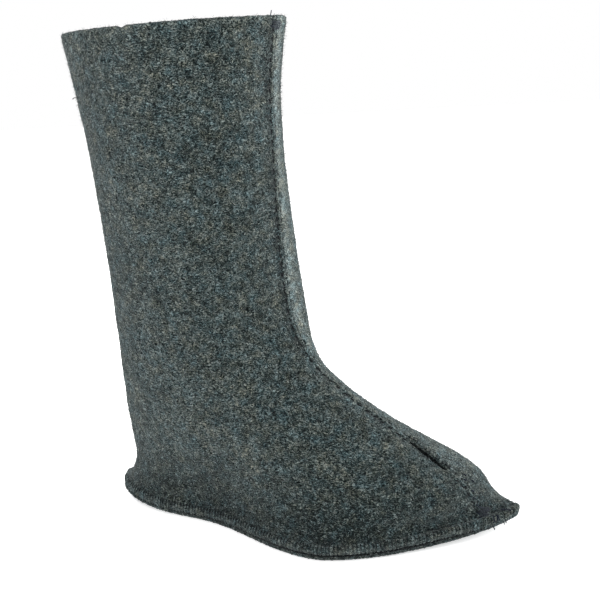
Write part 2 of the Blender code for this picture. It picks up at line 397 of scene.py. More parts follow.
class Shader:
    """Lays out the nodes of one material."""

    def __init__(self, name: str) -> None:
        """Start a material with its surface shader.

        Args:
            name: The material's name.
        """
        self.material = bpy.data.materials.new(name)
        self.material.use_nodes = True
        self.tree = self.material.node_tree
        self.surface = self.tree.nodes["Principled BSDF"]

    def node(self, kind: str, **settings: object) -> bpy.types.Node:
        """Add a node and set its plain properties.

        Args:
            kind: The node's type.
            settings: Its properties by name.

        Returns:
            The new node.
        """
        made = self.tree.nodes.new(kind)
        for key, value in settings.items():
            setattr(made, key, value)
        return made

    def link(self, source: Socket, target: Socket) -> None:
        """Join an output to an input."""
        self.tree.links.new(source, target)

    def feed(self, value: object, target: Socket) -> None:
        """Link a socket to an input, or set a fixed value on it.

        Args:
            value: The socket or the fixed value.
            target: The input.
        """
        if isinstance(value, Socket):
            self.link(value, target)
        else:
            target.default_value = value

    def set_constants(self, **values: object) -> None:
        """Set fixed values on the surface shader's own sockets."""
        for key, value in values.items():
            self.surface.inputs[key.replace("_", " ")].default_value = value

    def place(self) -> Socket:
        """The point's place in the boot's own coordinates."""
        return self.node("ShaderNodeTexCoord").outputs["Object"]

    def curled(self, place: Socket, scale: float, reach: float) -> Socket:
        """The place pushed about by soft noise, so that straight fibres curl.

        Args:
            place: The place to push.
            scale: Number of curls to a metre.
            reach: How far a curl goes to each side.

        Returns:
            The curled place.
        """
        wander = self.node("ShaderNodeTexNoise")
        wander.inputs["Scale"].default_value = scale
        wander.inputs["Detail"].default_value = 1.0
        self.link(place, wander.inputs["Vector"])
        centred = self.node("ShaderNodeVectorMath", operation="SUBTRACT")
        centred.inputs[1].default_value = (0.5, 0.5, 0.5)
        self.link(wander.outputs["Color"], centred.inputs[0])
        moved = self.node("ShaderNodeVectorMath", operation="MULTIPLY_ADD")
        moved.inputs[1].default_value = (4 * reach, 4 * reach, 4 * reach)
        self.link(centred.outputs["Vector"], moved.inputs[0])
        self.link(place, moved.inputs[2])
        return moved.outputs["Vector"]

    def stretched(self, place: Socket, turn: Triple, size: Triple) -> Socket:
        """The place turned and stretched, so that a pattern runs one way.

        Args:
            place: The place to turn.
            turn: The turn about the three axes.
            size: The stretch along the three axes.

        Returns:
            The turned place.
        """
        mapping = self.node("ShaderNodeMapping")
        mapping.inputs["Rotation"].default_value = turn
        mapping.inputs["Scale"].default_value = size
        self.link(place, mapping.inputs["Vector"])
        return mapping.outputs["Vector"]

    def noise(self, place: Socket, scale: float, detail: float, rough: float) -> Socket:
        """Soft noise over a place.

        Args:
            place: The place that it is drawn on.
            scale: Number of features to a metre.
            detail: Number of finer layers.
            rough: How strong each finer layer is.

        Returns:
            A value from zero to one, about one half on average.
        """
        made = self.node("ShaderNodeTexNoise")
        made.inputs["Scale"].default_value = scale
        made.inputs["Detail"].default_value = detail
        made.inputs["Roughness"].default_value = rough
        self.link(place, made.inputs["Vector"])
        return made.outputs["Fac"]

    def sum_of(self, operation: str, first: object, second: object, clamp: bool = False) -> Socket:
        """One sum on two values.

        Args:
            operation: The sum's kind.
            first: A socket or a fixed number.
            second: A socket or a fixed number.
            clamp: Whether the result is kept between zero and one.

        Returns:
            The result.
        """
        made = self.node("ShaderNodeMath", operation=operation, use_clamp=clamp)
        self.feed(first, made.inputs[0])
        self.feed(second, made.inputs[1])
        return made.outputs["Value"]

    def add(self, first: object, second: object) -> Socket:
        """Two values added."""
        return self.sum_of("ADD", first, second)

    def times(self, first: object, second: object) -> Socket:
        """Two values multiplied."""
        return self.sum_of("MULTIPLY", first, second)

    def less(self, first: object, second: object) -> Socket:
        """The second value taken from the first."""
        return self.sum_of("SUBTRACT", first, second)

    def around(self, value: Socket, share: float) -> Socket:
        """A noise value brought to swing about zero, times a share."""
        return self.times(self.less(value, 0.5), share)

    def spread(self, value: Socket, low: float, high: float) -> Socket:
        """Stretch part of a value over zero to one.

        Args:
            value: The value.
            low: What becomes zero.
            high: What becomes one, which may be the lower of the two.

        Returns:
            The stretched value, kept between zero and one.
        """
        made = self.node("ShaderNodeMapRange", clamp=True)
        made.inputs["From Min"].default_value = low
        made.inputs["From Max"].default_value = high
        self.link(value, made.inputs["Value"])
        return made.outputs["Result"]

    def bell(self, value: Socket, middle: float, width: float) -> Socket:
        """A smooth hump of a value about its middle."""
        offset = self.sum_of("DIVIDE", self.less(value, middle), width)
        return self.sum_of("POWER", math.e, self.times(self.times(offset, offset), -1.0))

    def ramp(self, value: Socket, stops: Iterable[Stop]) -> Socket:
        """Colours along a value.

        Args:
            value: The value from zero to one.
            stops: Each colour with its position.

        Returns:
            The colour.
        """
        made = self.node("ShaderNodeValToRGB")
        elements = made.color_ramp.elements
        wanted = list(stops)
        while len(elements) < len(wanted):
            elements.new(0.5)
        for element, (position, colour) in zip(elements, wanted):
            element.position = position
            element.color = (*colour, 1.0)
        self.link(value, made.inputs["Fac"])
        return made.outputs["Color"]

    def blend(self, kind: str, share: Socket, first: Socket, second: Triple) -> Socket:
        """A colour blended with a fixed colour by a share.

        Args:
            kind: The blend's kind.
            share: How much of the blend shows.
            first: The colour.
            second: The fixed colour.

        Returns:
            The blended colour.
        """
        made = self.node("ShaderNodeMix", data_type="RGBA", blend_type=kind)
        self.link(share, made.inputs["Factor"])
        colours = {put.name: put for put in made.inputs if put.type == "RGBA"}
        self.link(first, colours["A"])
        colours["B"].default_value = (*second, 1.0)
        return next(out for out in made.outputs if out.type == "RGBA")

    def number(self, name: str) -> Socket:
        """A number carried by the piece's own points."""
        return self.node("ShaderNodeAttribute", attribute_name=name).outputs["Fac"]

    def height_of(self, place: Socket) -> Socket:
        """The point's height above the ground.

        Args:
            place: The place in the boot's own coordinates.

        Returns:
            The height.
        """
        split = self.node("ShaderNodeSeparateXYZ")
        self.link(place, split.inputs["Vector"])
        return split.outputs["Z"]

    def bump(self, height: Socket, distance: float, strength: float) -> None:
        """Raise the surface's small relief.

        Args:
            height: The height from zero to one.
            distance: How far one stands above zero.
            strength: How strongly it shows.
        """
        made = self.node("ShaderNodeBump")
        made.inputs["Distance"].default_value = distance
        made.inputs["Strength"].default_value = strength
        self.link(height, made.inputs["Height"])
        self.link(made.outputs["Normal"], self.surface.inputs["Normal"])


@dataclass(frozen=True)
class HeatherFelt:
    """Grey wool felt: light and dark fibres pressed together at random.

    Distances from the front seam are in millimetres, negative on the near side.
    A band is two values of which the first gives zero and the second gives one.
    """

    name: str
    shades: tuple[Stop, ...]
    cool_tint: Triple = (0.80, 0.99, 1.10)
    warm_tint: Triple = (1.16, 1.02, 0.89)
    # Colour of the painted shade in the slit, the cleft, the valleys and the needle holes.
    painted_shade_colour: Triple = (0.0035, 0.0055, 0.0065)
    fibre_length: float = 0.0030
    fibre_width: float = 0.00048
    clump: float = 0.0013
    blotch: float = 0.0045
    patch: float = 0.018
    relief: float = 0.0010
    low_dark: float = 0.22
    seam: bool = False

    LIGHT_TURNS = ((0.3, 0.2, 0.1), (1.1, 0.9, 0.4), (0.2, 2.2, 1.3), (2.0, 0.6, 2.4))
    DARK_TURNS = ((1.7, 0.1, 0.9), (0.5, 1.4, 2.0), (2.6, 2.7, 0.3))
    STRAND_BAND = (0.52, 0.70)
    CURLS = 240.0
    CURL_REACH = 0.0009
    MIDDLE_TONE = 0.412
    CLUMP_SHARE = 1.75
    BLOTCH_SHARE = 0.82
    PATCH_SHARE = 0.34
    LIGHT_SHARE = 0.62
    DARK_SHARE = 0.66
    LOW_BAND = (0.052, 0.010)
    # Painted highlight along the collar's top edge.
    RIM_BAND = (0.3515, 0.3540)
    COLLAR_PAINTED_HIGHLIGHT = 0.12
    DRIFT_SCALE = 115.0
    COOL_BAND = (0.50, 0.68)
    WARM_BAND = (0.50, 0.32)

    SEAM_PITCH = 6.4
    DENT_PITCH = 9.1
    HOLE_BAND = (0.35, 0.95)
    DENT_BAND = (0.40, 0.90)
    SHAFT_BAND = (255.0, 215.0)
    # Painted light on the far flank beyond the seam and painted shade on the near flank before it,
    # along the shaft.
    FAR_FLANK_PAINTED_LIGHT = 0.26
    BEYOND_START = (0.4, 1.6)
    BEYOND_END = (12.0, 5.0)
    NEAR_FLANK_PAINTED_SHADE = 0.25

    def strands(
        self, shader: Shader, place: Socket, turns: Iterable[Triple]
    ) -> Socket:
        """The strongest of several sets of strands, each running its own way.

        Args:
            shader: The material being laid out.
            place: The place that the strands are drawn on.
            turns: The direction of each set, as a rotation.

        Returns:
            A value near one on a strand and near zero between strands.
        """
        size = (1 / self.fibre_length, 1 / self.fibre_width, 1 / self.fibre_width)
        strongest = None
        for turn in turns:
            strand = shader.noise(shader.stretched(place, turn, size), 1.0, 1.0, 0.5)
            strand = shader.spread(strand, *self.STRAND_BAND)
            if strongest is None:
                strongest = strand
            else:
                strongest = shader.sum_of("MAXIMUM", strongest, strand)
        return strongest

    def beat(self, shader: Shader, run: Socket, pitch: float, band: tuple[float, float]) -> Socket:
        """A mark that comes back once a pitch along the seam.

        Args:
            shader: The material being laid out.
            run: The way along the seam.
            pitch: The distance from one mark to the next.
            band: How much of the wave shows.

        Returns:
            A value near one on a mark and zero between marks.
        """
        wave = shader.sum_of("COSINE", shader.times(run, 2 * math.pi / pitch), 0.0)
        return shader.spread(wave, *band)

    def seam_marks(self, shader: Shader) -> tuple[Socket, Socket, Socket]:
        """The front seam's valley, its needle holes and its two flanks, with painted shade and
        painted light.

        Args:
            shader: The material being laid out.

        Returns:
            How deep the seam presses the felt, the painted shade in its valley and
            needle holes, and on the shaft the painted light on the far flank less the
            painted shade on the near flank.
        """
        away = shader.number("seam_away")
        run = shader.number("seam_along")
        open_seam = shader.number("seam_shown")
        hole_marks = self.beat(shader, run, self.SEAM_PITCH, self.HOLE_BAND)
        dent_marks = self.beat(shader, run, self.DENT_PITCH, self.DENT_BAND)
        holes = shader.times(shader.bell(away, 0.9, 0.8), hole_marks)
        dents = shader.times(shader.bell(away, -3.1, 1.0), dent_marks)
        holes = shader.times(shader.add(holes, dents), open_seam)
        valley = shader.times(shader.bell(away, 0.1, 0.7), open_seam)
        depth = shader.add(shader.times(valley, 0.5), holes)
        # Painted shade in the seam's valley and in its needle holes.
        dark = shader.add(shader.times(valley, 0.14), shader.times(holes, 0.9))
        # Painted light on the far flank and painted shade on the near flank.
        beyond = shader.times(
            shader.spread(away, *self.BEYOND_START), shader.spread(away, *self.BEYOND_END)
        )
        far_painted_light = shader.times(beyond, self.FAR_FLANK_PAINTED_LIGHT)
        near_painted_shade = shader.times(shader.bell(away, -3.6, 3.6), self.NEAR_FLANK_PAINTED_SHADE)
        shaft = shader.spread(run, *self.SHAFT_BAND)
        shift = shader.times(shader.times(shader.less(far_painted_light, near_painted_shade), shaft), open_seam)
        return depth, dark, shift

    def tone(self, shader: Shader, place: Socket) -> tuple[Socket, Socket]:
        """How light the felt is at a place, and how high its fibres lie.

        Args:
            shader: The material being laid out.
            place: The place in the boot's own coordinates.

        Returns:
            The tone, about one half on average, and the height.
        """
        curled = shader.curled(place, self.CURLS, self.CURL_REACH)
        light = self.strands(shader, curled, self.LIGHT_TURNS)
        dark = self.strands(shader, curled, self.DARK_TURNS)
        clumps = shader.noise(curled, 1 / self.clump, 2.0, 0.6)
        blotches = shader.noise(place, 1 / self.blotch, 2.0, 0.55)
        patches = shader.noise(place, 1 / self.patch, 2.0, 0.5)
        tone = shader.add(self.MIDDLE_TONE, shader.around(clumps, self.CLUMP_SHARE))
        tone = shader.add(tone, shader.around(blotches, self.BLOTCH_SHARE))
        tone = shader.add(tone, shader.around(patches, self.PATCH_SHARE))
        tone = shader.add(tone, shader.times(light, self.LIGHT_SHARE))
        tone = shader.less(tone, shader.times(dark, self.DARK_SHARE))
        low = shader.spread(shader.height_of(place), *self.LOW_BAND)
        tone = shader.less(tone, shader.times(low, self.low_dark))
        # Painted highlight along the collar's top edge.
        rim = shader.spread(shader.height_of(place), *self.RIM_BAND)
        tone = shader.add(tone, shader.times(rim, self.COLLAR_PAINTED_HIGHLIGHT))
        height = shader.add(shader.times(clumps, 0.8), shader.times(light, 0.35))
        height = shader.less(height, shader.times(dark, 0.25))
        return tone, height

    def material(self) -> bpy.types.Material:
        """The felt's material.

        Returns:
            A material that reads the piece's own numbers for painted shade, and those
            for the front seam where it has them.
        """
        shader = Shader(self.name)
        place = shader.place()
        tone, height = self.tone(shader, place)
        # Painted shade from the piece's own numbers, and from the front seam.
        painted_shading = shader.number("painted_shade")
        if self.seam:
            depth, dark, shift = self.seam_marks(shader)
            # Painted light and painted shade on the seam's flanks.
            tone = shader.add(tone, shift)
            height = shader.less(height, depth)
            painted_shading = shader.sum_of("ADD", painted_shading, dark, clamp=True)
        colour = shader.ramp(tone, self.shades)
        turned = shader.stretched(place, (0.4, 0.8, 0.2), (1.0, 1.0, 1.0))
        drift = shader.noise(turned, self.DRIFT_SCALE, 3.0, 0.65)
        for band, tint in ((self.COOL_BAND, self.cool_tint), (self.WARM_BAND, self.warm_tint)):
            colour = shader.blend("MULTIPLY", shader.spread(drift, *band), colour, tint)
        # Painted shade blended over the felt's colour.
        colour = shader.blend("MIX", painted_shading, colour, self.painted_shade_colour)
        shader.link(colour, shader.surface.inputs["Base Color"])
        shader.bump(height, self.relief, 1.0)
        shader.set_constants(Roughness=0.95, Sheen_Weight=0.26, Sheen_Roughness=0.26)
        shader.set_constants(Sheen_Tint=(0.86, 0.93, 0.95, 1.0), Specular_IOR_Level=0.08)
        return shader.material


@dataclass(frozen=True)
class NapFibre:
    """The loose fibres of the felt's face, each with a shade of its own."""

    name: str
    shades: tuple[Stop, ...]
    cool_tint: Triple = (0.88, 0.98, 1.06)

    def material(self) -> bpy.types.Material:
        """The fibres' material, which reads each fibre's own shade.

        Returns:
            A material that reads the number "shade".
        """
        shader = Shader(self.name)
        colour = shader.ramp(shader.number("shade"), self.shades)
        drift = shader.noise(shader.place(), 110.0, 2.0, 0.6)
        colour = shader.blend("MULTIPLY", shader.spread(drift, 0.45, 0.65), colour, self.cool_tint)
        shader.link(colour, shader.surface.inputs["Base Color"])
        shader.set_constants(Roughness=0.9, Sheen_Weight=0.15, Specular_IOR_Level=0.1)
        return shader.material


@dataclass(frozen=True)
class SewingThread:
    """Twisted sewing thread."""

    name: str
    dark: Triple
    light: Triple
    twist: float = 0.0008

    def material(self) -> bpy.types.Material:
        """The thread's material, with its twist as slanted bands.

        Returns:
            The material.
        """
        shader = Shader(self.name)
        place = shader.place()
        slanted = shader.stretched(place, (0.6, 0.7, 0.2), (1.0, 1.0, 2.2))
        bands = shader.noise(slanted, 1 / self.twist, 1.0, 0.5)
        fuzz = shader.noise(place, 5200.0, 2.0, 0.6)
        tone = shader.add(shader.times(bands, 0.7), shader.times(fuzz, 0.3))
        colour = shader.ramp(shader.spread(tone, 0.35, 0.65), ((0.0, self.dark), (1.0, self.light)))
        shader.link(colour, shader.surface.inputs["Base Color"])
        shader.bump(tone, 0.00012, 0.8)
        shader.set_constants(Roughness=0.8, Sheen_Weight=0.04, Specular_IOR_Level=0.15)
        return shader.material


FELT_SHADES = (
    (0.00, (0.0030, 0.0052, 0.0060)),
    (0.26, (0.0135, 0.0215, 0.0220)),
    (0.50, (0.0470, 0.0680, 0.0655)),
    (0.74, (0.1200, 0.1560, 0.1500)),
    (1.00, (0.3200, 0.3700, 0.3520)),
)
NAP_SHADES = (
    (0.00, (0.0030, 0.0050, 0.0058)),
    (0.45, (0.0300, 0.0440, 0.0430)),
    (0.80, (0.1300, 0.1640, 0.1580)),
    (1.00, (0.3600, 0.4050, 0.3880)),
)
UPPER_FELT = HeatherFelt("upper_felt", FELT_SHADES, seam=True)
EDGE_FELT = HeatherFelt("edge_felt", FELT_SHADES, low_dark=-0.04)
LAP_FELT = HeatherFelt("lap_felt", FELT_SHADES)
SOLE_FELT = HeatherFelt("sole_felt", FELT_SHADES, low_dark=0.08)
SEAM_THREAD = SewingThread("seam_thread", (0.005, 0.008, 0.010), (0.022, 0.028, 0.033))
TACK_THREAD = SewingThread("tack_thread", (0.009, 0.012, 0.017), (0.056, 0.066, 0.080))
EDGE_THREAD = SewingThread("edge_thread", (0.002, 0.003, 0.004), (0.010, 0.014, 0.016))
NAVY_THREAD = SewingThread("navy_thread", (0.003, 0.005, 0.010), (0.014, 0.021, 0.036))
BLACK_THREAD = SewingThread("black_thread", (0.006, 0.007, 0.010), (0.020, 0.022, 0.030))


@dataclass
class FeltBody:
    """One felt piece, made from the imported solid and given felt's soft face."""

    node: str
    name: str
    finish: HeatherFelt
    slot: str
    levels: int = 2
    long_edge: float = 0.0175
    swell: float = 0.00035
    merge: float = 0.00001
    shaft_middle: Triple = (-0.07, 0.0093, 0.0)
    lumps: tuple[tuple[float, float], ...] = ((0.022, 1.0), (0.006, 0.8))

    def copy_solid(self, frame: dict) -> Piece:
        """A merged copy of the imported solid, in quads where it can be.


        Returns:
            The copy, as a piece of its own.
        """
        mesh = frame["nodes"][self.node].data.copy()
        mesh.name = self.name
        mesh.materials.clear()
        piece = new_piece(self.name, mesh)
        make_active(piece)
        if mesh.has_custom_normals:
            bpy.ops.mesh.customdata_custom_splitnormals_clear()
        bpy.ops.object.mode_set(mode="EDIT")
        bpy.ops.mesh.select_all(action="SELECT")
        bpy.ops.mesh.remove_doubles(threshold=self.merge)
        bpy.ops.mesh.tris_convert_to_quads(
            face_threshold=math.radians(60), shape_threshold=math.radians(70)
        )
        bpy.ops.object.mode_set(mode="OBJECT")
        return piece

    def split_long_bands(self, piece: Piece) -> None:
        """Cut the tall outer bands of the shaft, so that the mesh is even.

        Args:
            piece: The upper, before it is softened.
        """
        mesh = piece.data
        make_active(piece)
        bpy.ops.object.mode_set(mode="EDIT")
        bpy.ops.mesh.select_mode(type="EDGE")
        bpy.ops.mesh.select_all(action="DESELECT")
        bpy.ops.object.mode_set(mode="OBJECT")
        middle = Vector(self.shaft_middle)
        for edge in mesh.edges:
            start, end = (mesh.vertices[index] for index in edge.vertices)
            outward = start.co - middle
            outward.z = 0.0
            is_long = abs(end.co.z - start.co.z) > self.long_edge
            edge.select = is_long and start.normal.dot(outward) > 0
        bpy.ops.object.mode_set(mode="EDIT")
        bpy.ops.mesh.subdivide(number_cuts=2, smoothness=0.0, quadcorner="INNERVERT")
        bpy.ops.object.mode_set(mode="OBJECT")

    def soften(self, piece: Piece) -> None:
        """Round the faces into a smooth wall and let it swell unevenly.

        Args:
            piece: The piece to soften.
        """
        smooth = piece.modifiers.new("smooth", "SUBSURF")
        smooth.levels = self.levels
        smooth.render_levels = self.levels
        apply_modifier(piece, smooth)
        texture = bpy.data.textures.new(self.name + "_swell", "CLOUDS")
        texture.noise_depth = 2
        for size, share in self.lumps:
            texture.noise_scale = size
            lumps = piece.modifiers.new("lumps", "DISPLACE")
            lumps.texture = texture
            lumps.texture_coords = "LOCAL"
            lumps.mid_level = 0.5
            lumps.strength = self.swell * share * 2
            apply_modifier(piece, lumps)
        bpy.data.textures.remove(texture)

    def finish_piece(self, piece: Piece) -> Piece:
        """Args:
            piece: The piece in its final shape.

        Returns:
            The same piece.
        """
        make_active(piece)
        bpy.ops.object.shade_smooth()
        piece.data.materials.append(self.finish.material())
        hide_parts(self.node)
        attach(piece, "root")
        return piece


@dataclass
class FeltUpper(FeltBody):
    """The hollow upper, with the line that its front seam follows.

    The slit's widening and its lips' drop are given for two ends or two sides: low
    and high, near and far.  Slit_gap is how far from the seam's line the painted
    shade in the slit's inside starts, and half its width.
    """

    flange_low: float = 0.0052
    slit_low: float = 0.0435
    slit_high: float = 0.0690
    slit_fade: float = 0.004
    slit_widen: tuple[float, float] = (0.0003, -0.0006)
    slit_ripple: tuple[float, float] = (0.00012, 0.0031)
    lip_drop: tuple[float, float] = (0.0005, -0.0003)
    slit_gap: tuple[float, float] = (0.0016, 0.0026)
    push_width: float = 0.0035
    drop_width: float = 0.004
    seam_reach: float = 0.012
    seam_ahead_of: float = -0.02
    notch_at: float = -0.085
    notch_width: float = 0.0026
    notch_depth: float = 0.0016
    notch_above: float = 0.3525
    notch_beside: float = -0.025

    FAR_AWAY = 99.0
    CHUNK = 1500

    def build(self, frame: dict, seam: Polyline) -> Piece:
        """Build the upper.

        Args:
            seam: The line down the front.

        Returns:
            The finished piece.
        """
        piece = self.copy_solid(frame)
        self.split_long_bands(piece)
        self.soften(piece)
        places = places_of(piece.data)
        floor = curl(places[:, 0]) + self.flange_low
        places[:, 2] = np.maximum(places[:, 2], floor)
        by_notch = np.exp(-(((places[:, 0] - self.notch_at) / self.notch_width) ** 2))
        on_collar = (places[:, 2] > self.notch_above) & (places[:, 1] < self.notch_beside)
        places[:, 2] -= self.notch_depth * by_notch * on_collar
        set_places(piece.data, places)
        self.follow_seam(piece, seam)
        return self.finish_piece(piece)

    def follow_seam(self, piece: Piece, seam: Polyline) -> None:
        """Measure every point from the front seam, open the slit's lips, and paint shade in the
        slit's inside.

        Args:
            piece: The upper.
            seam: The line down the front.
        """
        places = places_of(piece.data)
        count = len(places)
        away = np.full(count, self.FAR_AWAY)
        along = np.zeros(count)
        shown = np.zeros(count)
        painted_shade = np.zeros(count)
        ahead = seam.directions()
        in_front = places[:, 0] > self.seam_ahead_of
        close = np.where(in_front & (np.abs(places[:, 1]) < self.seam_reach))[0]
        for chunk in np.array_split(close, max(len(close) // self.CHUNK, 1)):
            gap = places[chunk, None] - seam.points[None]
            nearest = np.argmin((gap ** 2).sum(axis=2), axis=1)
            offset = gap[np.arange(len(chunk)), nearest]
            step = (offset * ahead[nearest]).sum(axis=1)
            across = offset - ahead[nearest] * step[:, None]
            distance = np.linalg.norm(across, axis=1)
            away[chunk] = np.where(across[:, 1] < 0, -distance, distance) / MM
            along[chunk] = (nearest * seam.spacing() + step) / MM
            height = seam.points[nearest, 2]
            in_slit = (height > self.slit_low) & (height < self.slit_high)
            shown[chunk] = np.where(in_slit, 0.0, 1.0)
            # Painted shade in the slit's inside.
            depth_from, half_gap = self.slit_gap
            deep = in_slit & (distance > depth_from) & (np.abs(across[:, 1]) < half_gap)
            painted_shade[chunk] = np.where(deep, 1.0, 0.0)
            window = rising(height, self.slit_low, self.slit_fade)
            window = window * rising(self.slit_high - height, 0.0, self.slit_fade)
            reach, pitch = self.slit_ripple
            widen = np.interp(height, (self.slit_low, self.slit_high), self.slit_widen)
            widen = widen + reach * np.sin(height * 2 * math.pi / pitch)
            near_lip = across[:, 1] < 0
            push = np.where(near_lip, -widen, widen)
            places[chunk, 1] += push * window * np.exp(-((across[:, 1] / self.push_width) ** 2))
            drop = np.where(near_lip, *self.lip_drop)
            places[chunk, 2] -= drop * window * np.exp(-((across[:, 1] / self.drop_width) ** 2))
        set_places(piece.data, places)
        numbers = {"seam_away": away, "seam_along": along, "seam_shown": shown, "painted_shade": painted_shade}
        for name, values in numbers.items():
            set_number(piece.data, name, values)


@dataclass
class FeltSole(FeltBody):
    """The felt plate under the boot, whose side has painted shade above a groove's height, under the
    stitched edge.
    """

    thickness: float = 0.0050
    sag: float = 0.0003
    toe_share: float = 1.25
    shade_rise: tuple[float, float] = (0.0018, 0.0024)

    def build(self, frame: dict) -> Piece:
        """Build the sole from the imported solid.


        Returns:
            The finished piece.
        """
        piece = self.copy_solid(frame)
        self.soften(piece)
        places = places_of(piece.data)
        floor = curl(places[:, 0])
        lowest = np.maximum(floor - self.sag, 0.0)
        places[:, 2] = np.clip(places[:, 2], lowest, floor + self.thickness)
        places[:, 0] -= self.toe_share * toe_tuck(places[:, 0], places[:, 2] - floor)
        set_places(piece.data, places)
        # Painted shade on the sole's side under the stitched edge.
        low, high = self.shade_rise
        set_number(piece.data, "painted_shade", rising(places[:, 2] - floor, low, high - low))
        return self.finish_piece(piece)


@dataclass(frozen=True)
class EdgePoint:
    """One point of the stitched edge's section, in millimetres from the rim.

    Inward and height give its place and face the way that it swells.  Base and puff
    are how far it swells everywhere and on a rib, and the number after them is the
    painted shade that it gets between ribs.  Fill lowers it at the toe and the heel,
    and tuck draws it in at the toe.
    """

    inward: float
    height: float
    face: tuple[float, float]
    base: float
    puff: float
    painted_shade: float
    fill: float = 0.0
    tuck: float = 0.0


@dataclass
class StitchedEdge:
    """The over-edge seam that binds the flange to the sole, in puffed ribs."""

    rim: Polyline
    steps: int
    felt: Surface
    seed: int = 21
    sizes: tuple[float, float] = (0.45, 1.30)
    lean: float = 0.22
    roundness: float = 2.6
    heel_fill: float = 0.45
    least_height: float = 0.0001
    roll: tuple[EdgePoint, ...] = (
        EdgePoint(3.4, 10.5, (-0.58, 0.82), -1.1, 0.00, 0.0),
        EdgePoint(2.2, 9.7, (-0.58, 0.82), 0.00, 0.25, 0.9),
        EdgePoint(1.2, 8.9, (-0.65, 0.76), 0.15, 0.55, 1.0),
        EdgePoint(0.6, 8.0, (-0.87, 0.50), 0.15, 0.75, 1.0),
        EdgePoint(0.3, 7.1, (-1.00, 0.10), 0.05, 0.90, 0.7),
        EdgePoint(0.1, 6.0, (-1.00, 0.00), -0.1, 0.95, 0.45),
        EdgePoint(0.1, 4.9, (-1.00, 0.00), -0.1, 0.85, 0.45, 0.7),
        EdgePoint(0.2, 4.3, (-1.00, -0.1), -0.1, 0.70, 0.6, 1.6),
        EdgePoint(0.5, 3.8, (-0.90, -0.4), -0.1, 0.45, 0.9, 2.5),
        EdgePoint(1.1, 3.6, (-1.00, 0.00), 0.0, 0.00, 1.0, 3.0),
        EdgePoint(1.4, 5.5, (-1.00, 0.00), 0.0, 0.00, 0.0),
        EdgePoint(2.6, 8.4, (-1.00, 0.00), 0.0, 0.00, 0.0),
    )
    lip: tuple[EdgePoint, ...] = (
        EdgePoint(1.1, 2.5, (-1.00, 0.00), 0.0, 0.00, 1.0, 0.0, 0.5),
        EdgePoint(0.2, 2.3, (-0.80, 0.60), 0.0, 0.30, 0.2, 0.0, 1.3),
        EdgePoint(0.0, 1.7, (-1.00, 0.20), 0.3, 0.55, 0.0, 0.0, 1.4),
        EdgePoint(0.0, 1.0, (-1.00, 0.00), 0.3, 0.55, 0.0, 0.0, 1.4),
        EdgePoint(0.2, 0.4, (-1.00, 0.00), 0.2, 0.45, 0.0, 0.0, 1.2),
        EdgePoint(1.8, 0.1, (-1.00, 0.00), 0.0, 0.00, 0.2),
        EdgePoint(2.0, 1.4, (-1.00, 0.00), 0.0, 0.00, 0.2),
    )

    THREAD_POINTS = (1, 2, 3, 4, 5)
    THREAD_RISES = (-0.42, -0.12, 0.24, 0.18, -0.45)
    TIP = (0.118, 0.028)
    BACK = (0.0, 0.050)
    # Painted shade between ribs, in the cleft between roll and lip, and under the edge toward the
    # toe.
    VALLEY = (1.05, 1.15)
    CLEFT_SHADE = 0.9
    CLEFT_PUFF = 0.05
    UNDER_TOE = (0.050, 0.060)
    UNDERSIDE = 3.0
    UNDER_PAINTED_SHADE = 0.55
    TOE_SHADE_LOSS = 0.6
    TOE_CLOSED = 0.5
    BACK_CLOSED = 0.7

    def __post_init__(self) -> None:
        """Draw each rib's own size and lean, and mark the toe and the heel."""
        rng = np.random.default_rng(self.seed)
        stitches = len(self.rim.points) // self.steps
        sizes = rng.uniform(*self.sizes, size=stitches)
        leans = rng.uniform(-self.lean, self.lean, size=stitches)
        share = (np.arange(len(self.rim.points)) % self.steps) / self.steps
        number = np.arange(len(self.rim.points)) // self.steps
        phase = np.clip(share + leans[number] * np.sin(np.pi * share), 0.0, 1.0)
        self.rib = (1.0 - np.abs(2 * phase - 1.0) ** self.roundness) * sizes[number]
        ahead = self.rim.directions()
        level = np.stack([-ahead[:, 1], ahead[:, 0], np.zeros(len(ahead))], axis=1)
        self.inward = unit_rows(level)
        self.at_tip = rising(self.rim.points[:, 0], *self.TIP)
        self.at_back = rising(-self.rim.points[:, 0], *self.BACK)

    def section(self, point: EdgePoint) -> np.ndarray:
        """The run of one point of the section, all round the rim.

        Args:
            point: The point.

        Returns:
            One place for each station of the rim.
        """
        lift = (point.base + point.puff * self.rib) * MM
        inward = point.inward * MM + lift * point.face[0]
        inward = inward + toe_tuck(self.rim.points[:, 0], point.height * MM)
        height = point.height * MM + lift * point.face[1]
        run = self.rim.points + self.inward * inward[:, None]
        if point.fill:
            height = height - point.fill * MM * np.maximum(self.at_tip, self.heel_fill * self.at_back)
        if point.tuck:
            run += self.inward * (point.tuck * MM * self.at_tip)[:, None]
        run[:, 2] = curl(self.rim.points[:, 0]) + np.maximum(height, self.least_height)
        return run

    def sweep(self, name: str, section: Sequence[EdgePoint]) -> Piece:
        """Sweep a closed section round the rim as one puffed felt piece.

        Args:
            name: The piece's name.
            section: The points of the section, in order round it.

        Returns:
            The finished piece.
        """
        runs = np.stack([self.section(point) for point in section], axis=1)
        faces = tube_faces(runs.shape[0], runs.shape[1], closed=True)
        mesh = mesh_of(name, runs.reshape(-1, 3), faces)
        # Painted shade for the edge's valleys, cleft and underside.
        set_number(mesh, "painted_shade", self.painted_shading(section))
        return dress_tube(new_piece(name, mesh), EDGE_FELT)

